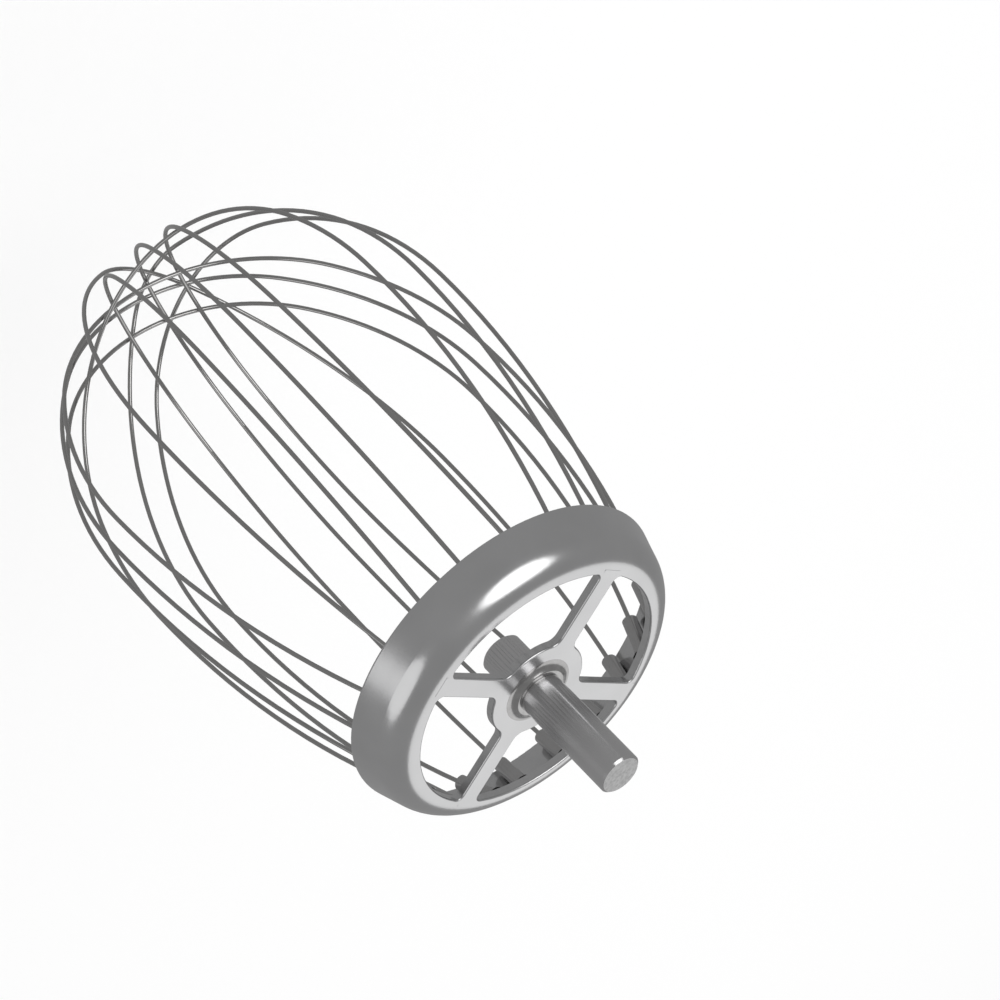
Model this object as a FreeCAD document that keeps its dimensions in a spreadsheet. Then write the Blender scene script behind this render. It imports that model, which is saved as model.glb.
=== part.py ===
import FreeCAD, Part
import math
import os
import Sketcher

# Balloon whisk for a planetary mixer.
# The drive shaft stands up along +Z and the wire cage hangs below it.  The origin is on the
# shaft's axis, where its free length starts, on top of the weld ring.

doc = FreeCAD.newDocument("balloon_whisk")
V = FreeCAD.Vector

# ---------------------------------------------------------------- driving sizes (mm, degrees)
sheet = doc.addObject("Spreadsheet::Sheet", "sizes")
SIZES = [
    ("shaft_dia", 20.0, "drive shaft"),
    ("shaft_free", 54.2, "shaft above the weld ring"),
    ("shaft_rear", 28.5, "shaft below the top of the weld ring"),
    ("shaft_chamfer", 1.0, "at both ends"),
    ("shaft_step", 0.25, "shoulder where the free length starts, radial"),
    ("shaft_gap", 0.02, "radial clearance of the shaft in the hub"),
    ("weld_dia", 33.0, "weld ring on the hub"),
    ("weld_height", 2.2, "weld ring"),
    ("weld_toe", 0.5, "height of the weld ring at its outer edge"),
    ("weld_lip", 2.4, "width of the weld ring at its top"),
    ("hub_dia", 48.0, "hub plate"),
    ("spider_thick", 4.0, "hub plate and spokes"),
    ("spoke_width", 10.0, "spokes"),
    ("spoke_land", 2.5, "spoke end beyond the window edge"),
    ("hub_corner", 5.0, "corner radius, spoke to hub"),
    ("window_corner", 3.0, "corner radius, spoke to flange"),
    ("rim_dia", 160.0, "rim at its open edge"),
    ("shoulder_dia", 153.0, "rim at its shoulder"),
    ("shoulder_round", 15.0, "outer radius of the shoulder"),
    ("rim_depth", 24.4, "flange face to open edge"),
    ("flange_thick", 4.2, "flange"),
    ("skirt_thick", 2.4, "skirt wall"),
    ("inner_round", 11.0, "radius inside the shoulder"),
    ("window_dia", 122.0, "opening in the flange"),
    ("window_round", 0.8, "windows' front edges"),
    ("edge_round", 0.8, "rim's open edge"),
    ("socket_dia", 7.0, "wire socket"),
    ("socket_radius", 72.4, "axis to the middle of a socket's mouth"),
    ("socket_depth", 23.0, "flange face to the sockets' mouths"),
    ("socket_chamfer", 0.6, "at the mouth"),
    ("bore_depth", 12.0, "wire held in the socket"),
    ("bore_gap", 0.08, "radial clearance of the wire in its bore"),
    ("seat_gap", 0.05, "radial clearance of a socket in its seat"),
    ("wire_dia", 2.0, "cage wire"),
    ("belly_depth", 174.2, "flange face to the widest place of the cage"),
    ("tip_depth", 285.9, "flange face to the nearest loop's tip"),
    ("cross_share", 1.3, "tip to tip where loops cross, in wire diameters"),
    ("centre_half", 98.0, "half width of a loop through the axis"),
    ("side_half", 96.6, "half width of a loop beside the axis"),
    ("centre_share", 1.0414, "bend over that of a pointed arch, loops through the axis"),
    ("side_share", 1.1266, "bend over that of a pointed arch, loops beside the axis"),
]
SOCKETS = 20
STEP_DEG = 360.0 / SOCKETS

# Each loop joins two sockets, counted round the rim from the first spoke.  A level sets how
# many cross steps its tip stands below tip_depth, and a lean turns its plane about its chord.
LOOPS = [
    ("loop_01", 0, 10, 9.8, 2.3),
    ("loop_02", 1, 9, 5.5, 0.8),
    ("loop_03", 11, 19, 0.0, 1.5),
    ("loop_04", 3, 13, 4.0, 0.2),
    ("loop_05", 4, 12, 3.4, -1.3),
    ("loop_06", 2, 14, 3.1, 0.8),
    ("loop_07", 7, 17, 6.1, -1.8),
    ("loop_08", 8, 16, 3.0, -3.2),
    ("loop_09", 6, 18, 4.0, -0.1),
    ("loop_10", 5, 15, 9.2, 0.6),
]

row = 0


def put(alias, value, note=""):
    """One row of the sheet: the value with its alias, then what it is."""
    global row
    row += 1
    sheet.set("A%d" % row, note if note else alias)
    sheet.set("B%d" % row, str(value))
    sheet.setAlias("B%d" % row, alias)


for alias, value, note in SIZES:
    put(alias, value, note)
for name, first, second, level, lean in LOOPS:
    put(name + "_level", level, "cross steps of " + name)
    put(name + "_lean", lean, "lean of %s, degrees" % name)

# sizes that follow from the driving ones
put("shaft_seat", "=shaft_dia - 2 * shaft_step", "shaft in the hub and the weld ring")
put("flange_face", "=-weld_height", "height of the flange face")
put("mouth_height", "=flange_face - socket_depth", "height of the sockets' mouths")
put("belly_drop", "=belly_depth - socket_depth", "mouths to the belly")
put("tip_drop", "=tip_depth - belly_depth", "belly to the nearest loop's tip")
put("cross_step", "=cross_share * wire_dia", "tip to tip where loops cross")
put("centre_drop", "=tip_drop + loop_01_level * cross_step", "belly to the deepest centre tip")
put("side_drop", "=tip_drop + loop_02_level * cross_step", "belly to the deepest side tip")
# two arcs that meet in a point on the axis have this radius, so a larger one leaves a round tip
put("centre_bend", "=centre_share * (centre_half^2 + centre_drop^2) / (2 * centre_half)",
    "bend radius below the belly, loops through the axis")
put("side_bend", "=side_share * (side_half^2 + side_drop^2) / (2 * side_half)",
    "bend radius below the belly, loops beside the axis")
put("side_chord", "=socket_radius * cos(18 deg)", "half chord beside the axis")
put("centre_flare", "=2 * atan((centre_half - socket_radius) / belly_drop)",
    "lean of the sockets on a loop through the axis")
put("side_flare", "=2 * atan((side_half - side_chord) / belly_drop)",
    "lean of the sockets on a loop beside the axis")
put("socket_length", "=(socket_depth - flange_thick) / cos(centre_flare)",
    "mouth to the level of the flange's under side")
doc.recompute()


def size(alias):
    got = sheet.get(alias)
    return float(getattr(got, "Value", got))


# ---------------------------------------------------------------- helpers
def bind(obj, **props):
    for prop, text in props.items():
        obj.setExpression(prop.replace("__", "."), text)


def new_body(label, height=None):
    body = doc.addObject("PartDesign::Body", label)
    body.Label = label
    if height:
        body.setExpression(".Placement.Base.z", height)
    return body


def plane(body, role):
    return [f for f in body.Origin.OriginFeatures if f.Role == role][0]


def new_sketch(body, role, name):
    sk = body.newObject("Sketcher::SketchObject", name)
    sk.AttachmentSupport = [(plane(body, role), "")]
    sk.MapMode = "FlatFace"
    return sk


def dim(sk, kind, *args):
    """Add a dimension: its last argument is the expression that drives it."""
    where, text = args[:-1], args[-1]
    start = {"Radius": 5.0, "Diameter": 5.0, "Distance": 5.0}.get(kind, 5.0)
    if kind in ("Radius", "Diameter"):
        arc = sk.Geometry[where[0]]
        start = arc.Radius * (2 if kind == "Diameter" else 1)
    elif kind == "Distance" and len(where) == 1:
        start = sk.Geometry[where[0]].length()
    elif kind in ("DistanceX", "DistanceY"):
        pts = [sk.getPoint(where[i], where[i + 1]) for i in range(0, len(where), 2)]
        gap = pts[-1] - (pts[0] if len(pts) > 1 else V(0, 0, 0))
        start = gap.x if kind == "DistanceX" else gap.y
    number = sk.addConstraint(Sketcher.Constraint(kind, *where, start))
    sk.setExpression("Constraints[%d]" % number, text)
    return number


def join(sk, kind, *where):
    return sk.addConstraint(Sketcher.Constraint(kind, *where))


def closed(sk, points):
    """Straight-sided outline through the points, corners joined."""
    count = len(points)
    for i in range(count):
        a, b = points[i], points[(i + 1) % count]
        sk.addGeometry(Part.LineSegment(V(a[0], a[1], 0), V(b[0], b[1], 0)))
    for i in range(count):
        join(sk, "Coincident", i, 2, (i + 1) % count, 1)
        a, b = points[i], points[(i + 1) % count]
        if abs(a[1] - b[1]) < 1e-9:
            join(sk, "Horizontal", i)
        elif abs(a[0] - b[0]) < 1e-9:
            join(sk, "Vertical", i)


def revolve(body, sk, name):
    turn = body.newObject("PartDesign::Revolution", name)
    turn.Profile = sk
    turn.ReferenceAxis = (sk, ["V_Axis"])
    turn.Angle = 360.0
    sk.Visibility = False
    return turn


def edges_where(feature, test):
    """Names of the feature's edges whose curve passes the test."""
    found = []
    for i, edge in enumerate(feature.Shape.Edges):
        if test(edge):
            found.append("Edge%d" % (i + 1))
    if not found:
        raise RuntimeError("no edge found on " + feature.Name)
    return found


def circle_at(radius, height):
    def test(edge):
        c = edge.Curve
        return (isinstance(c, Part.Circle) and abs(c.Radius - radius) < 1e-3
                and abs(c.Center.z - height) < 1e-3 and len(edge.Vertexes) == 1)
    return test


def upright_at(radius, reach):
    """Straight upright edges whose distance from Z is near the radius."""
    def test(edge):
        if not isinstance(edge.Curve, Part.Line) or len(edge.Vertexes) < 2:
            return False
        a, b = [v.Point for v in edge.Vertexes]
        flat = math.hypot(a.x - b.x, a.y - b.y) < 1e-6
        return flat and abs(math.hypot(a.x, a.y) - radius) < reach
    return test


def disc(body, name, text, height=None):
    """A circle on the axis, its diameter set by the expression."""
    sk = new_sketch(body, "XY_Plane", name)
    if height:
        bind(sk, AttachmentOffset__Base__z=height)
    sk.addGeometry(Part.Circle(V(0, 0, 0), V(0, 0, 1), size("shaft_dia") / 2))
    join(sk, "Coincident", 0, 3, -1, 1)
    dim(sk, "Diameter", 0, text)
    return sk


def level_at(height, reach):
    """Edges lying in a level plane, no further from Z than the reach."""
    def test(edge):
        points = edge.discretize(5)
        return all(abs(p.z - height) < 1e-6 and math.hypot(p.x, p.y) < reach
                   for p in points)
    return test


# ---------------------------------------------------------------- drive shaft
# Turned from one bar.  Below its free length it is a little thinner, to suit the hub.
shaft = new_body("drive_shaft")
free = shaft.newObject("PartDesign::Pad", "free_length")
free.Profile = disc(shaft, "free_circle", "sizes.shaft_dia")
bind(free, Length="sizes.shaft_free")
rear = shaft.newObject("PartDesign::Pad", "hub_length")
rear.Profile = disc(shaft, "hub_circle", "sizes.shaft_seat")
rear.Reversed = True
bind(rear, Length="sizes.shaft_rear")
doc.recompute()
ends = [size("shaft_free"), -size("shaft_rear")]
cut = shaft.newObject("PartDesign::Chamfer", "shaft_ends")
cut.Base = (rear, edges_where(rear, lambda e: isinstance(e.Curve, Part.Circle)
                              and min(abs(e.Curve.Center.z - z) for z in ends) < 1e-3))
bind(cut, Size="sizes.shaft_chamfer")

# ---------------------------------------------------------------- weld ring round the shaft
weld = new_body("weld_ring", "-sizes.weld_height")
sk = new_sketch(weld, "XZ_Plane", "weld_section")
r0, r1 = size("shaft_seat") / 2, size("weld_dia") / 2
top, toe, lip = size("weld_height"), size("weld_toe"), size("weld_lip")
closed(sk, [(r0, 0), (r1, 0), (r1, toe), (r0 + lip, top), (r0, top)])
join(sk, "PointOnObject", 0, 1, -1)
dim(sk, "DistanceX", -1, 1, 0, 1, "sizes.shaft_seat / 2")
dim(sk, "DistanceX", -1, 1, 0, 2, "sizes.weld_dia / 2")
dim(sk, "DistanceY", 1, 1, 1, 2, "sizes.weld_toe")
dim(sk, "DistanceX", 3, 2, 3, 1, "sizes.weld_lip")
dim(sk, "DistanceY", 4, 2, 4, 1, "sizes.weld_height")
revolve(weld, sk, "weld_bead")

# ---------------------------------------------------------------- head: rim, spokes and hub
# The body's own zero is the flange face.
head = new_body("head_blank", "sizes.flange_face")
sk = new_sketch(head, "XZ_Plane", "rim_section")
win, rim = size("window_dia") / 2, size("rim_dia") / 2
shoulder, rnd = size("shoulder_dia") / 2, size("shoulder_round")
deep, flange, skirt = size("rim_depth"), size("flange_thick"), size("skirt_thick")
inner = size("inner_round")
mid = V(shoulder - rnd, -rnd, 0)
# where the straight skirt meets the round shoulder
reach = V(rim, -deep, 0) - mid
slope = math.atan2(reach.y, reach.x) + math.acos(rnd / reach.Length)
touch = mid + V(rnd * math.cos(slope), rnd * math.sin(slope), 0)
# inner corner: a fillet between the flange's under side and the skirt's inner wall
run = (V(rim, -deep, 0) - touch).normalize()
side = V(run.y, -run.x, 0)
if side.x > 0:
    side = side * -1
foot = V(rim - skirt / abs(side.x), -deep, 0)
corner_y = -flange - inner
corner_x = foot.x + run.x * ((corner_y - foot.y) / run.y) + side.x * inner
corner_x += run.x * (-(side.y * inner) / run.y) if abs(run.y) > 0 else 0
corner = V(corner_x, corner_y, 0)
leave = corner - side * inner
P = [V(win, 0, 0), V(mid.x, 0, 0), touch, V(rim, -deep, 0), foot, leave,
     V(corner.x, -flange, 0), V(win, -flange, 0)]
sk.addGeometry(Part.LineSegment(P[0], P[1]))                                       # 0 face
sk.addGeometry(Part.ArcOfCircle(Part.Circle(mid, V(0, 0, 1), rnd), slope, math.pi / 2))  # 1
sk.addGeometry(Part.LineSegment(P[2], P[3]))                                       # 2 skirt
sk.addGeometry(Part.LineSegment(P[3], P[4]))                                       # 3 open edge
sk.addGeometry(Part.LineSegment(P[4], P[5]))                                       # 4 inner wall
lean_in = math.atan2((leave - corner).y, (leave - corner).x)
sk.addGeometry(Part.ArcOfCircle(Part.Circle(corner, V(0, 0, 1), inner), lean_in,
                                math.pi / 2))                                      # 5
sk.addGeometry(Part.LineSegment(P[6], P[7]))                                       # 6 under side
sk.addGeometry(Part.LineSegment(P[7], P[0]))                                       # 7 window wall
join(sk, "PointOnObject", 0, 1, -1)
join(sk, "Horizontal", 0)
join(sk, "Tangent", 0, 2, 1, 2)
join(sk, "Tangent", 1, 1, 2, 1)
join(sk, "Coincident", 2, 2, 3, 1)
join(sk, "Horizontal", 3)
join(sk, "Coincident", 3, 2, 4, 1)
join(sk, "Parallel", 2, 4)
join(sk, "Tangent", 4, 2, 5, 1)
join(sk, "Tangent", 5, 2, 6, 1)
join(sk, "Horizontal", 6)
join(sk, "Coincident", 6, 2, 7, 1)
join(sk, "Vertical", 7)
join(sk, "Coincident", 7, 2, 0, 1)
dim(sk, "DistanceX", -1, 1, 0, 1, "sizes.window_dia / 2")
dim(sk, "Radius", 1, "sizes.shoulder_round")
dim(sk, "DistanceX", -1, 1, 1, 3, "sizes.shoulder_dia / 2 - sizes.shoulder_round")
dim(sk, "DistanceX", -1, 1, 2, 2, "sizes.rim_dia / 2")
dim(sk, "DistanceY", 2, 2, -1, 1, "sizes.rim_depth")
wall = sk.addConstraint(Sketcher.Constraint("Distance", 3, 2, 2, skirt))
sk.setExpression("Constraints[%d]" % wall, "sizes.skirt_thick")
dim(sk, "Radius", 5, "sizes.inner_round")
dim(sk, "DistanceY", 7, 1, -1, 1, "sizes.flange_thick")
ring = revolve(head, sk, "rim_ring")
doc.recompute()
soft = head.newObject("PartDesign::Fillet", "rim_edges")
names = edges_where(ring, circle_at(rim, -deep)) + edges_where(ring, circle_at(foot.x, -deep))
soft.Base = (ring, names)
bind(soft, Radius="sizes.edge_round")

hub = head.newObject("PartDesign::Pad", "hub_plate")
hub.Profile = disc(head, "hub_outline", "sizes.hub_dia")
hub.Reversed = True
bind(hub, Length="sizes.spider_thick")

sk = new_sketch(head, "XY_Plane", "spoke_outline")
half, far = size("spoke_width") / 2, win + size("spoke_land")
closed(sk, [(0, -half), (far, -half), (far, half), (0, half)])
join(sk, "Symmetric", 0, 1, 3, 1, -1, 1)
dim(sk, "Distance", 3, "sizes.spoke_width")
dim(sk, "Distance", 0, "sizes.window_dia / 2 + sizes.spoke_land")
spoke = head.newObject("PartDesign::Pad", "spoke")
spoke.Profile = sk
spoke.Reversed = True
bind(spoke, Length="sizes.spider_thick")
four = head.newObject("PartDesign::PolarPattern", "spokes")
four.Originals = [spoke]
four.Axis = (plane(head, "Z_Axis"), [""])
four.Angle = 360.0
four.Occurrences = 4
head.Tip = four
doc.recompute()

hub_r = size("hub_dia") / 2
webs = head.newObject("PartDesign::Fillet", "hub_corners")
webs.Base = (four, edges_where(four, upright_at(hub_r, 0.05)))
bind(webs, Radius="sizes.hub_corner")
doc.recompute()
ends = head.newObject("PartDesign::Fillet", "window_corners")
ends.Base = (webs, edges_where(webs, upright_at(win, 0.05)))
bind(ends, Radius="sizes.window_corner")
doc.recompute()
brow = head.newObject("PartDesign::Fillet", "window_edges")
brow.Base = (ends, edges_where(ends, level_at(0.0, win + 0.2)))
bind(brow, Radius="sizes.window_round")

hole = head.newObject("PartDesign::Pocket", "shaft_bore")
hole.Profile = disc(head, "shaft_hole", "sizes.shaft_seat + 2 * sizes.shaft_gap")
hole.Type = "ThroughAll"
doc.recompute()
if hole.Shape.Volume > brow.Shape.Volume - 100.0:
    raise RuntimeError("the shaft's bore removed nothing")

# ---------------------------------------------------------------- wire loops
def loop_values(first, second):
    """Aliases for a loop through the axis, or beside it."""
    if second - first == SOCKETS // 2:
        return "sizes.socket_radius", "centre"
    return "sizes.side_chord", "side"


def make_loop(name, first, second):
    chord, kind = loop_values(first, second)
    chord_alias = chord.split(".")[1]
    c, w, r2 = size(chord_alias), size(kind + "_half"), size(kind + "_bend")
    drop, held = size("belly_drop"), size("bore_depth")
    tip = (size("tip_depth") - size("socket_depth")
           + size(name + "_level") * size("cross_step"))
    flare = math.radians(size(kind + "_flare"))
    r1 = drop / math.sin(flare)
    low = tip - drop
    gap = ((r2 - w) ** 2 + (low - r2) ** 2) / (2 * (r2 - low))
    r3 = r2 - gap
    turn = math.atan2(low - r3, r2 - w)

    body = new_body("wire_" + name)
    path = new_sketch(body, "XZ_Plane", name + "_path")
    start = V(c - held * math.sin(flare), held * math.cos(flare), 0)
    up = V(0, 0, 1)
    path.addGeometry(Part.LineSegment(start, V(c, 0, 0)))
    path.addGeometry(Part.ArcOfCircle(Part.Circle(V(w - r1, -drop, 0), up, r1), 0.0, flare))
    path.addGeometry(Part.ArcOfCircle(Part.Circle(V(w - r2, -drop, 0), up, r2), -turn, 0.0))
    path.addGeometry(Part.ArcOfCircle(Part.Circle(V(0, r3 - tip, 0), up, r3),
                                      -math.pi / 2, -turn))
    join(path, "Tangent", 0, 2, 1, 2)
    join(path, "Tangent", 1, 1, 2, 2)
    join(path, "Tangent", 2, 1, 3, 2)
    join(path, "PointOnObject", 1, 2, -1)
    join(path, "PointOnObject", 3, 3, -2)
    join(path, "PointOnObject", 3, 1, -2)
    join(path, "Horizontal", 1, 3, 1, 1)
    dim(path, "DistanceX", -1, 1, 1, 2, chord)
    dim(path, "DistanceX", -1, 1, 1, 1, "sizes.%s_half" % kind)
    dim(path, "DistanceY", 1, 1, -1, 1, "sizes.belly_drop")
    dim(path, "Radius", 2, "sizes.%s_bend" % kind)
    dim(path, "Distance", 0, "sizes.bore_depth")
    dim(path, "DistanceY", 3, 1, -1, 1,
        "sizes.tip_depth - sizes.socket_depth + sizes.%s_level * sizes.cross_step" % name)

    ring = new_sketch(body, "XY_Plane", name + "_wire")
    bind(ring,
         AttachmentOffset__Base__x="%s - sizes.bore_depth * sin(sizes.%s_flare)" % (chord, kind),
         AttachmentOffset__Base__z="sizes.bore_depth * cos(sizes.%s_flare)" % kind,
         AttachmentOffset__Rotation__Angle="-sizes.%s_flare" % kind)
    ring.AttachmentOffset = FreeCAD.Placement(V(0, 0, 0), FreeCAD.Rotation(V(0, 1, 0), 10))
    ring.addGeometry(Part.Circle(V(0, 0, 0), up, size("wire_dia") / 2))
    join(ring, "Coincident", 0, 3, -1, 1)
    dim(ring, "Diameter", 0, "sizes.wire_dia")

    pipe = body.newObject("PartDesign::AdditivePipe", name + "_half")
    pipe.Profile = ring
    pipe.Spine = (path, ["Edge1", "Edge2", "Edge3", "Edge4"])
    both = body.newObject("PartDesign::Mirrored", name + "_both")
    both.Originals = [pipe]
    both.MirrorPlane = (plane(body, "YZ_Plane"), [""])
    body.Tip = both
    path.Visibility = ring.Visibility = False

    # the loop's plane: turned to its chord, set off from the axis, then leaned
    face = (first + second) * STEP_DEG / 2
    across = (second - first) * STEP_DEG / 2
    body.setExpression("Placement", (
        "create(<<placement>>; create(<<vector>>; 0; 0; sizes.mouth_height);"
        " create(<<rotation>>; create(<<vector>>; 0; 0; 1); %g))"
        " * create(<<placement>>; create(<<vector>>; 0; sizes.socket_radius * cos(%g deg); 0);"
        " create(<<rotation>>; create(<<vector>>; 1; 0; 0); sizes.%s_lean))")
        % (face - 90.0, across, name))
    return body


# ---------------------------------------------------------------- wire sockets
def make_socket(number, loop, chord, kind, way):
    """A blind socket on one end of a loop: way is 1 or -1 along the loop's chord."""
    body = new_body("wire_socket_%02d" % number)
    sk = new_sketch(body, "XZ_Plane", "socket_section_%02d" % number)
    r, bore = size("socket_dia") / 2, size("wire_dia") / 2 + size("bore_gap")
    high, held, soft = size("socket_length"), size("bore_depth"), size("socket_chamfer")
    closed(sk, [(0, 0), (r, 0), (r, high - soft), (r - soft, high), (bore, high),
                (bore, high - held), (0, high - held)])
    join(sk, "Coincident", 0, 1, -1, 1)
    dim(sk, "DistanceX", -1, 1, 0, 2, "sizes.socket_dia / 2")
    dim(sk, "DistanceY", -1, 1, 3, 1, "sizes.socket_length")
    dim(sk, "DistanceX", 2, 2, 2, 1, "sizes.socket_chamfer")
    dim(sk, "DistanceY", 2, 1, 2, 2, "sizes.socket_chamfer")
    dim(sk, "DistanceX", -1, 1, 4, 1, "sizes.wire_dia / 2 + sizes.bore_gap")
    dim(sk, "DistanceY", 4, 2, 4, 1, "sizes.bore_depth")
    revolve(body, sk, "socket_turned_%02d" % number)
    body.setExpression("Placement", (
        "%s.Placement * create(<<placement>>; create(<<vector>>;"
        " %d * (%s - sizes.socket_length * sin(sizes.%s_flare)); 0;"
        " sizes.socket_length * cos(sizes.%s_flare));"
        " create(<<rotation>>; create(<<vector>>; 0; 1; 0); %d * (180 deg - sizes.%s_flare)))")
        % (loop.Name, way, chord, kind, kind, way, kind))

    seat = doc.addObject("Part::Cylinder", "seat_cutter_%02d" % number)
    bind(seat, Radius="sizes.socket_dia / 2 + sizes.seat_gap", Height="sizes.socket_length",
         Placement=body.Name + ".Placement")
    return body, seat


loops, sockets, seats = [], {}, []
for name, first, second, level, lean in LOOPS:
    body = make_loop(name, first, second)
    loops.append(body)
    chord, kind = loop_values(first, second)
    # the loop's +X runs from the second socket to the first
    for number, way in ((first, 1), (second, -1)):
        sockets[number], seat = make_socket(number + 1, body, chord, kind, way)
        seats.append(seat)
doc.recompute()

# ---------------------------------------------------------------- seats cut into the head
cutters = doc.addObject("Part::Compound", "seat_cutters")
cutters.Links = seats
whole = doc.addObject("Part::Cut", "whisk_head")
whole.Label = "whisk_head"
whole.Base = head
whole.Tool = cutters
doc.recompute()
if whole.Shape.Volume > head.Shape.Volume - 100.0:
    raise RuntimeError("the seats were not cut")

# ---------------------------------------------------------------- checks and export
for obj in doc.Objects:
    if "Invalid" in obj.State or "Error" in obj.State:
        raise RuntimeError("%s is %s" % (obj.Label, obj.State))

nodes = [whole, shaft, weld] + [sockets[k] for k in sorted(sockets)] + loops
os.makedirs("parts", exist_ok=True)
for node in nodes:
    shape = node.Shape
    if shape.isNull() or not shape.isValid() or len(shape.Solids) != 1:
        raise RuntimeError("%s has a bad shape" % node.Label)
    shape.exportStep("parts/%s.step" % node.Label)
print("wrote", len(nodes), "nodes")
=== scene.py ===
# %% [markdown]
# # A balloon whisk for a planetary mixer
# The imported model is the frame of this scene.  It stands upright: the drive shaft points up along
# +Z and the wire cage hangs below.  Its size is kept at once, before anything is added.

# %% Load the imported whisk
import math

import bmesh
import bpy
import numpy as np
from mathutils import Matrix, Vector
from mathutils.bvhtree import BVHTree


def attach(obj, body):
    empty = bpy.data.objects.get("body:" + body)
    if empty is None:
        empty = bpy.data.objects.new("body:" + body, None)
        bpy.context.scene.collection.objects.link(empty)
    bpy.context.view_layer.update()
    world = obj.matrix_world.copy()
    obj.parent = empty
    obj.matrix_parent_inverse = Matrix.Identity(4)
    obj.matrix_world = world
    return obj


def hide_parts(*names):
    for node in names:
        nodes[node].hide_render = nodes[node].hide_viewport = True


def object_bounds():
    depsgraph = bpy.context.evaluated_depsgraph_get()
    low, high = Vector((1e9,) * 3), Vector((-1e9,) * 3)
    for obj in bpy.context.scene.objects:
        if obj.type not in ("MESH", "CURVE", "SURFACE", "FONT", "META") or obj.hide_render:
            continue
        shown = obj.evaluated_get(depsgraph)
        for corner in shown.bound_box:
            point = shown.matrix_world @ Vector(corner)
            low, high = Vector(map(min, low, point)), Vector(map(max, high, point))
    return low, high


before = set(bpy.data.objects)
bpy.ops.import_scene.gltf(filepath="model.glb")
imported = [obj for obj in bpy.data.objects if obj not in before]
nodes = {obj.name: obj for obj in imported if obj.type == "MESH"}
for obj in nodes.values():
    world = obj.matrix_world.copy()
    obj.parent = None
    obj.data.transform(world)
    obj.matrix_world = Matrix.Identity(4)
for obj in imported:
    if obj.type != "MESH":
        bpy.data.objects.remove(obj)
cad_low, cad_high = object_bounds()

MM = 0.001
print("nodes:", len(nodes), "box:", [round(v, 4) for v in (*cad_low, *cad_high)])

# %% [markdown]
# ## The camera
# A long lens, far away, keeps the rim's ellipse and the straight wires free of strong
# perspective.  The whisk could be laid over for the view, but then it would leave its own frame.
# The camera rolls instead, so that the shaft runs down to the right while the model stays
# upright.  Three directions at right angles make the camera's matrix: right, up, and behind.

# %% Camera
LENS = 136.71                                   # mm, on a 36 mm sensor
EYE = Vector((-0.60548, -1.25481, 0.79018))     # metres
EYE_UP = Vector((-0.80093, -0.05396, -0.59632))
EYE_BACK = Vector((-0.34305, -0.77491, 0.53088)).normalized()

right = EYE_UP.cross(EYE_BACK).normalized()
up = EYE_BACK.cross(right)
camera = bpy.data.objects.new("camera", bpy.data.cameras.new("camera"))
camera.data.lens = LENS
camera.data.sensor_width = 36.0
camera.data.clip_start, camera.data.clip_end = 0.05, 60.0
camera.matrix_world = Matrix((
    (right.x, up.x, EYE_BACK.x, EYE.x),
    (right.y, up.y, EYE_BACK.y, EYE.y),
    (right.z, up.z, EYE_BACK.z, EYE.z),
    (0, 0, 0, 1)))
bpy.context.scene.collection.objects.link(camera)
bpy.context.scene.camera = camera
bpy.context.scene.view_settings.view_transform = "Standard"
print("camera", round(EYE.length, 3), "m from the hub")

# %% [markdown]
# ## The studio
# Polished steel has almost no colour of its own: it shows the room.  The room is one even grey,
# and three large soft boxes make the highlights.  They stand in the three usual places for a
# studio: a key to one side of the camera and above it, a weaker fill on the other side, and
# a back light behind the whisk.  Each one is a round area lamp that faces the whisk.  A textured
# room would give richer reflections, but plain light shows a shape more honestly.  Mirrored rays
# see a darker even grey than other rays do, so the floor stays pale and the steel isn't white.

# %% Node helper
def add(tree, kind, **settings):
    """A node with its settings; an input is set by its number, as in _0=1.5."""
    node = tree.nodes.new(kind)
    for key, value in settings.items():
        if key[0] == "_":
            node.inputs[int(key[1:])].default_value = value
        else:
            setattr(node, key, value)
    return node


# %% Even room
ROOM_LIGHT = 0.80           # even grey that lights the floor and the whisk
ROOM_MIRRORED = 0.30        # even grey that polished steel shows
world = bpy.data.worlds.new("studio")
bpy.context.scene.world = world
world.use_nodes = True
tree = world.node_tree
tree.nodes.clear()
lit = add(tree, "ShaderNodeBackground", _0=(ROOM_LIGHT, ROOM_LIGHT, ROOM_LIGHT, 1), _1=1.0)
mirrored = add(tree, "ShaderNodeBackground",
               _0=(ROOM_MIRRORED, ROOM_MIRRORED, ROOM_MIRRORED, 1), _1=1.0)
path = add(tree, "ShaderNodeLightPath")
choose = add(tree, "ShaderNodeMixShader")
tree.links.new(path.outputs["Is Glossy Ray"], choose.inputs[0])
tree.links.new(lit.outputs[0], choose.inputs[1])
tree.links.new(mirrored.outputs[0], choose.inputs[2])
tree.links.new(choose.outputs[0], add(tree, "ShaderNodeOutputWorld").inputs[0])
print("world shader nodes:", len(tree.nodes))

# %% Three soft boxes
BOX_AWAY = 2.0              # metres from the middle of the whisk
BOXES = [                   # degrees round from the camera, degrees up, metres across, watts
    ("key_box", -45, 45, 1.6, 10.0),
    ("fill_box", 60, 20, 1.6, 4.0),
    ("back_box", 180, 40, 2.0, 6.0),
]
middle = Vector((0, 0, (cad_low.z + cad_high.z) / 2))
camera_side = math.atan2(EYE.y, EYE.x)
for name, round_from_camera, height, across, watts in BOXES:
    turn, tilt = camera_side + math.radians(round_from_camera), math.radians(height)
    box = bpy.data.objects.new(name, bpy.data.lights.new(name, "AREA"))
    box.data.shape, box.data.size, box.data.energy = "DISK", across, watts
    towards = Vector((math.cos(tilt) * math.cos(turn), math.cos(tilt) * math.sin(turn),
                      math.sin(tilt)))
    box.location = middle + BOX_AWAY * towards
    box.rotation_euler = towards.to_track_quat("Z", "Y").to_euler()
    box.visible_camera = False
    bpy.context.scene.collection.objects.link(box)
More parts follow.
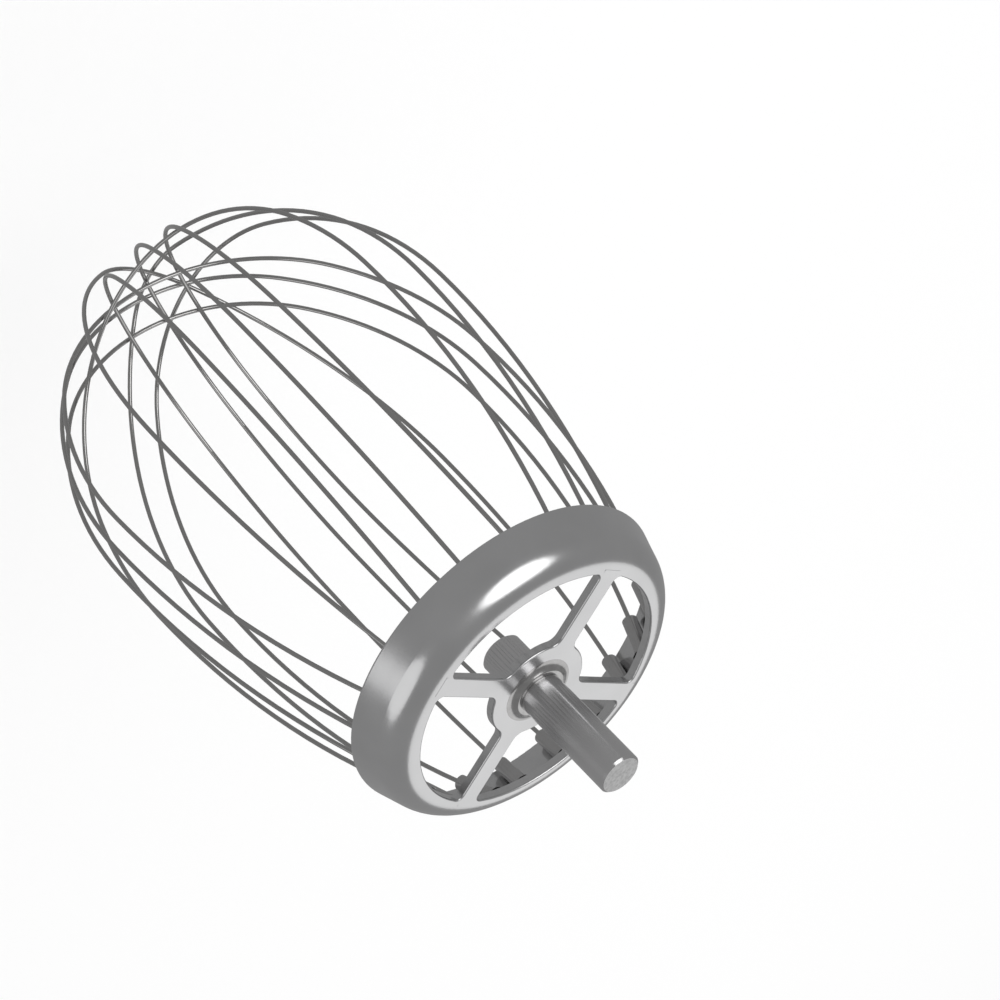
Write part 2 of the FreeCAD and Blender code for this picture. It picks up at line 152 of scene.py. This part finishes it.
print("soft boxes:", len(BOXES), "at", BOX_AWAY, "m")

# %% [markdown]
# ## The floor
# A plain pale floor a little below the cage. It could be a swept backdrop, but one flat matt
# sheet is enough here. It is hidden from mirrored rays, so the steel's low sides show the
# even room and stand out against it.

# %% Floor
FLOOR_DROP = 0.10
FLOOR_SIDE = 30.0


def new_object(name, mesh):
    thing = bpy.data.objects.new(name, mesh)
    bpy.context.scene.collection.objects.link(thing)
    return thing


def from_bmesh(name, build):
    """An object from a mesh that the function builds."""
    mesh, bm = bpy.data.meshes.new(name), bmesh.new()
    build(bm)
    bm.to_mesh(mesh)
    bm.free()
    return new_object(name, mesh)


def floor_sheet(bm):
    bmesh.ops.create_grid(bm, x_segments=1, y_segments=1, size=FLOOR_SIDE / 2)


floor = from_bmesh("floor", floor_sheet)
floor.location.z = cad_low.z - FLOOR_DROP
floor.visible_glossy = False
paint = bpy.data.materials.new("floor_paint")
paint.use_nodes = True
coat = paint.node_tree.nodes["Principled BSDF"]
coat.inputs["Base Color"].default_value = (0.97, 0.97, 0.97, 1)
coat.inputs["Roughness"].default_value = 0.9
coat.inputs["Specular IOR Level"].default_value = 0.0
floor.data.materials.append(paint)
print("floor at", round(floor.location.z, 4))

# %% [markdown]
# ## Stainless steel
# Every piece is the same stainless steel in a different finish.  One flat grey would look like
# plastic, and a painted texture would need unwrapped pieces.  Noise in Object coordinates needs
# neither, and its scale is in metres, because each node's own origin is the whisk's origin.
# Each finish is a Principled shader at full Metallic.  Roughness and a very fine bump tell them
# apart: the head is blasted satin, the sockets are turned, the wire is drawn, so its marks run
# along it, and the weld metal is cloudy.  Their base colours differ as well: the wire and the weld
# metal are darker than the head as painted shade, for the shaded low sides of the wire and the
# shaded far side of the weld.

# %% How a steel finish is made
def grain_of(tree, place, size, stretch, detail=3.0):
    """Fine grain, stretched along or round a piece."""
    drawn_out = add(tree, "ShaderNodeMapping", vector_type="POINT")
    drawn_out.inputs["Scale"].default_value = stretch
    tree.links.new(place.outputs["Object"], drawn_out.inputs[0])
    grain = add(tree, "ShaderNodeTexNoise")
    grain.inputs["Scale"].default_value = size
    grain.inputs["Detail"].default_value = detail
    tree.links.new(drawn_out.outputs[0], grain.inputs["Vector"])
    return grain.outputs["Fac"]


def steel(name, colour, rough, spread, grain, bump, stretch=(1, 1, 1), cloud=38.0, dull=0.93):
    """A steel finish: grain and soft clouds move its roughness, its shade and its relief."""
    made = bpy.data.materials.new(name)
    made.use_nodes = True
    tree = made.node_tree
    skin = tree.nodes["Principled BSDF"]
    skin.inputs["Metallic"].default_value = 1.0
    place = add(tree, "ShaderNodeTexCoord")
    fine = grain_of(tree, place, grain, stretch)
    cloudy = grain_of(tree, place, cloud, (1, 1, 1), 2.0)

    both = add(tree, "ShaderNodeMath", operation="ADD")
    tree.links.new(fine, both.inputs[0])
    tree.links.new(cloudy, both.inputs[1])
    roughness = add(tree, "ShaderNodeMapRange", _1=0.6, _2=1.4, _3=rough - spread,
                    _4=rough + spread)
    tree.links.new(both.outputs[0], roughness.inputs[0])
    tree.links.new(roughness.outputs[0], skin.inputs["Roughness"])

    shade = add(tree, "ShaderNodeValToRGB")
    for stop, place_at, part in ((0, 0.30, dull), (1, 0.70, 1.0)):
        shade.color_ramp.elements[stop].position = place_at
        shade.color_ramp.elements[stop].color = (*[c * part for c in colour], 1)
    tree.links.new(cloudy, shade.inputs[0])
    tree.links.new(shade.outputs[0], skin.inputs["Base Color"])

    relief = add(tree, "ShaderNodeBump")
    relief.inputs["Strength"].default_value = bump
    relief.inputs["Distance"].default_value = 0.00005
    tree.links.new(fine, relief.inputs["Height"])
    tree.links.new(relief.outputs[0], skin.inputs["Normal"])
    return made


print("finish maker ready, materials so far:", len(bpy.data.materials))

# %% Satin head, sockets, wire and weld metal
satin = steel("satin_steel", (0.70, 0.70, 0.705), 0.19, 0.04, 2600.0, 0.16)
socket_steel = steel("socket_steel", (0.54, 0.535, 0.535), 0.16, 0.04, 900.0, 0.08, (0.3, 0.3, 5))
# The wire's base colour is darker than the head's: painted shade for the wire's shaded low sides.
wire_steel_painted_shade = steel("drawn_wire_painted_shade", (0.50, 0.495, 0.49), 0.12, 0.03, 900.0, 0.08, (5, 5, 0.2))
# The weld metal is cloudy, which is its own tone, and darker overall than the head as painted shade
# for the weld's shaded far side.
weld_steel_painted_shade = steel("weld_steel_painted_shade", (0.55, 0.545, 0.54), 0.20, 0.05, 1400.0, 0.20, cloud=160.0,
                   dull=0.80)
print("finishes:", ", ".join(m.name for m in (satin, socket_steel, wire_steel_painted_shade, weld_steel_painted_shade)))

# %% [markdown]
# ## The turned shaft
# The shaft is turned on a lathe.  Its fine grooves run round it, so a reflection is sharp round
# the shaft but smeared along it, which is why the stripes run its whole length.  Thousands of
# real grooves would be far too fine to model.  Anisotropic does the same: it smears the shine
# one way only, and the tangent says which way.  The sawn ends are duller, with a coarse grain.
# They share the shaft's material, and the direction that a face looks in picks them out.

# %% Turned shaft
turned = steel("turned_steel", (0.70, 0.695, 0.70), 0.17, 0.02, 900.0, 0.04, (0.2, 0.2, 6))
tree = turned.node_tree
side = tree.nodes["Principled BSDF"]
side.inputs["Anisotropic"].default_value = 0.95
side.inputs["Anisotropic Rotation"].default_value = 0.25
grooves = add(tree, "ShaderNodeTangent", direction_type="RADIAL", axis="Z")
tree.links.new(grooves.outputs[0], side.inputs["Tangent"])
print("turned steel, smeared along the shaft:", round(side.inputs["Anisotropic"].default_value, 2))

# %% Sawn ends of the shaft
end = add(tree, "ShaderNodeBsdfPrincipled")
end.inputs["Metallic"].default_value = 1.0
end_grain = grain_of(tree, add(tree, "ShaderNodeTexCoord"), 620.0, (1, 1, 1))
for socket_name, low, high in (("Base Color", 0.40, 0.60), ("Roughness", 0.36, 0.50)):
    spread = add(tree, "ShaderNodeMapRange", _1=0.35, _2=0.65, _3=low, _4=high)
    tree.links.new(end_grain, spread.inputs[0])
    tree.links.new(spread.outputs[0], end.inputs[socket_name])
faces = add(tree, "ShaderNodeNewGeometry")
look_up = add(tree, "ShaderNodeSeparateXYZ")
tree.links.new(faces.outputs["True Normal"], look_up.inputs[0])
steep = add(tree, "ShaderNodeMath", operation="ABSOLUTE")
tree.links.new(look_up.outputs["Z"], steep.inputs[0])
is_end = add(tree, "ShaderNodeMath", operation="GREATER_THAN", _1=0.98)
tree.links.new(steep.outputs[0], is_end.inputs[0])
two = add(tree, "ShaderNodeMixShader")
tree.links.new(is_end.outputs[0], two.inputs[0])
tree.links.new(side.outputs[0], two.inputs[1])
tree.links.new(end.outputs[0], two.inputs[2])
tree.links.new(two.outputs[0], tree.nodes["Material Output"].inputs["Surface"])
print("turned steel nodes:", len(tree.nodes))

# %% [markdown]
# ## Dressing the pieces from CAD
# The head, shaft, sockets and wire loops keep their CAD meshes.  They could be modelled again
# as curves and lathe shapes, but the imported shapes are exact, bores and rounded edges included.
# Each only needs its finish, so one short helper does all thirty-two of them.

# %% Finishes on the CAD pieces
def dress(node, finish):
    piece = nodes[node]
    piece.data.materials.clear()
    piece.data.materials.append(finish)
    return piece


dress("whisk_head", satin)
dress("drive_shaft", turned)
sockets = [dress(n, socket_steel) for n in sorted(nodes) if n.startswith("wire_socket")]
loops = [dress(n, wire_steel_painted_shade) for n in sorted(nodes) if n.startswith("wire_loop")]
print("sockets", len(sockets), "loops", len(loops),
      "points in one loop", len(loops[0].data.vertices))

# %% [markdown]
# ## The weld round the shaft
# On the real whisk this is weld metal run round the shaft and dressed to a low hollow cone. The
# CAD ring is a plain cone with a sharp foot. Here an outline is turned round the axis instead:
# it runs out flat on the hub, so no hard line shows, and its height ripples very slightly round
# the ring, as weld metal does.

# %% Outline of the weld
WELD_FOOT, WELD_LIP, HUB_FACE = 16.5, 12.3, -2.2      # mm


def weld_outline():
    """Radius and height in mm: a hollow slope that runs out flat on the hub, then a lip."""
    slope = []
    for step in range(15):
        share = step / 14
        slope.append((WELD_FOOT + (WELD_LIP - WELD_FOOT) * share,
                      HUB_FACE + 0.03 + 1.93 * share ** 2.1))
    return slope + [(12.05, -0.08), (11.6, 0.0), (10.6, 0.0), (9.9, -0.1)]


print("weld outline points:", len(weld_outline()))


# %% Turn the outline into a ring
def lathe(bm, outline, steps, ripple=0.0, ripples=40):
    """Turns an outline of (radius, height) in mm round Z."""
    rings = []
    for k in range(steps):
        angle = 2 * math.pi * k / steps
        lift = ripple * math.sin(ripples * angle + 1.3 * math.sin(5 * angle))
        rings.append([bm.verts.new((
            r * MM * math.cos(angle), r * MM * math.sin(angle),
            (z + lift * math.sin(math.pi * i / (len(outline) - 1))) * MM))
            for i, (r, z) in enumerate(outline)])
    for k in range(steps):
        a, b = rings[k], rings[(k + 1) % steps]
        for i in range(len(outline) - 1):
            bm.faces.new((a[i], b[i], b[i + 1], a[i + 1]))
    for face in bm.faces:
        face.smooth = True


weld = from_bmesh("hub_weld", lambda bm: lathe(bm, weld_outline(), 200, 0.004, 34))
# The weld metal's darker base colour is painted shade.
weld.data.materials.append(weld_steel_painted_shade)
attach(weld, "root")
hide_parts("weld_ring")
print("hub weld faces:", len(weld.data.polygons))

# %% [markdown]
# ## Beads where the sockets meet the rim
# Each socket is welded to the inside of the rim with one small bead.  The rim is rounded there,
# so a plain ring would stand off it on one side and cut through it on the other.  Instead the
# bead is laid like real weld metal: at each step round the socket, one ray looks for the rim
# close to the socket and another looks a little further out, and the bead is a hollow curve
# between them.  The socket's own mesh gives its axis: the long direction of its points.

# %% Where a socket stands
def foot_of(socket):
    """Where a socket's axis meets its foot, and the axis from foot to mouth."""
    points = np.array([socket.matrix_world @ v.co for v in socket.data.vertices])
    middle = points.mean(0)
    axis = np.linalg.svd(points - middle, full_matrices=False)[2][0]
    axis = axis if axis[2] < 0 else -axis
    reach = (points - middle) @ axis
    return Vector(middle + axis * reach.min()), Vector(axis)


head = nodes["whisk_head"]
head_tree = BVHTree.FromPolygons([head.matrix_world @ v.co for v in head.data.vertices],
                                 [p.vertices for p in head.data.polygons])
print("first foot:", [round(v, 4) for v in foot_of(sockets[0])[0]])

# %% How one bead is laid
SOCKET_R, BEAD_LEG, BEAD_WIDTH, BEAD_STEPS = 3.5, 1.6, 1.45, 60      # mm, and steps round


def rim_height(stand, angle, radius):
    """Height of the rim over the socket's foot, in mm, looked for from the mouth's side."""
    start = stand @ Vector((radius * math.cos(angle), radius * math.sin(angle), 13)) * MM
    hit = head_tree.ray_cast(start, -(stand.to_3x3() @ Vector((0, 0, 1))), 0.03)
    return 13 - hit[3] / MM if hit[3] is not None else None


def lay_bead(bm, foot, axis, seed):
    """A hollow bead round one socket, from the socket's side down to the rim."""
    turn = axis.to_track_quat("Z", "Y").to_matrix().to_4x4()
    stand = Matrix.Translation(foot / MM) @ turn
    rows, near, far = [], 0.0, 0.0
    for k in range(BEAD_STEPS):
        angle = 2 * math.pi * k / BEAD_STEPS
        wave = 0.07 * math.sin(11 * angle + seed) + 0.05 * math.sin(3 * angle + 2 * seed)
        width = BEAD_WIDTH + wave
        found_near = rim_height(stand, angle, SOCKET_R + 0.15)
        found_far = rim_height(stand, angle, SOCKET_R + width)
        near = found_near if found_near is not None else near
        far = found_far if found_far is not None else near
        top = Vector((SOCKET_R - 0.05, near + BEAD_LEG + wave))
        toe = Vector((SOCKET_R + width, far - 0.06))
        bend = Vector((SOCKET_R + 0.45, near + 0.35 + 0.3 * max(0.0, far - near)))
        row = []
        for i in range(7):
            t = i / 6
            r, z = top * (1 - t) ** 2 + bend * 2 * t * (1 - t) + toe * t * t
            row.append(bm.verts.new(stand @ Vector((r * math.cos(angle),
                                                       r * math.sin(angle), z)) * MM))
        rows.append(row)
    for k in range(BEAD_STEPS):
        a, b = rows[k], rows[(k + 1) % BEAD_STEPS]
        for i in range(6):
            bm.faces.new((a[i], a[i + 1], b[i + 1], b[i])).smooth = True


print("one bead:", BEAD_STEPS, "steps round,", BEAD_LEG, "mm up the socket")

# %% Weld all twenty sockets
for number, socket in enumerate(sockets, 1):
    foot, axis = foot_of(socket)
    bead = from_bmesh("socket_bead_%02d" % number,
                      lambda bm: lay_bead(bm, foot, axis, number * 1.7))
    # The beads take the same weld steel, with its painted shade.
    bead.data.materials.append(weld_steel_painted_shade)
    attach(bead, "root")
print("beads:", number)
